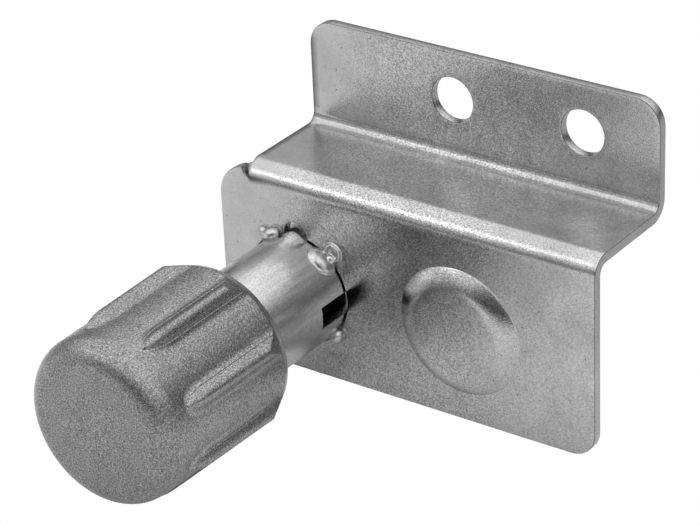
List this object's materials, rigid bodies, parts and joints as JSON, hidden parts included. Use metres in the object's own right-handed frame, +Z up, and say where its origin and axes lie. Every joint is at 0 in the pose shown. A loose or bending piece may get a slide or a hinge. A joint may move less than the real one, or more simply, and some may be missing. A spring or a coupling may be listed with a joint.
{
  "type": "locking door catch",
  "caption": "Stepped sheet-steel bracket with a welded tube that guides a spring bolt, pulled back by a ribbed cast knob.",
  "frame": {"origin": "midway between the two bolt holes, on the flat back of the upper flange, where it lies on the wall or frame", "axes": "+X along the bracket to the right seen from the front, +Y into the wall and the way the bolt throws, +Z up"},
  "size_m": [0.082, 0.085, 0.0615],
  "materials": {
    "bracket_zinc": "zinc plated, mottled, satin",
    "tube_zinc": "zinc plated, drawn, satin",
    "weld": "zinc plated over weld metal, bright",
    "bolt_steel": "turned, zinc plated",
    "spring_steel": "oiled spring wire",
    "bush_steel": "sintered, dull",
    "knob_cast": "blasted casting, matt"
  },
  "bodies": {
    "bracket": {"mounting_bracket": "bracket_zinc", "spring_tube": "tube_zinc", "weld_tack_upper_right": "weld", "weld_tack_upper_left": "weld", "weld_tack_lower_left": "weld", "weld_tack_lower_right": "weld", "end_bush": "bush_steel", "compression_spring": "spring_steel"},
    "plunger": {"plunger_bolt": "bolt_steel", "pull_rod": "bolt_steel", "guide_pin": "bolt_steel", "jam_nut": "bolt_steel", "knob_insert": "bolt_steel", "knob": "knob_cast"}
  },
  "joints": [
    {"name": "plunger_pull", "type": "slide", "parent": "bracket", "child": "plunger", "axis": [0, -1, 0], "range_m": [0, 0.012], "stiffness_N_per_m": 2000, "springref_m": -0.01, "deforming": ["compression_spring"]}
  ]
}
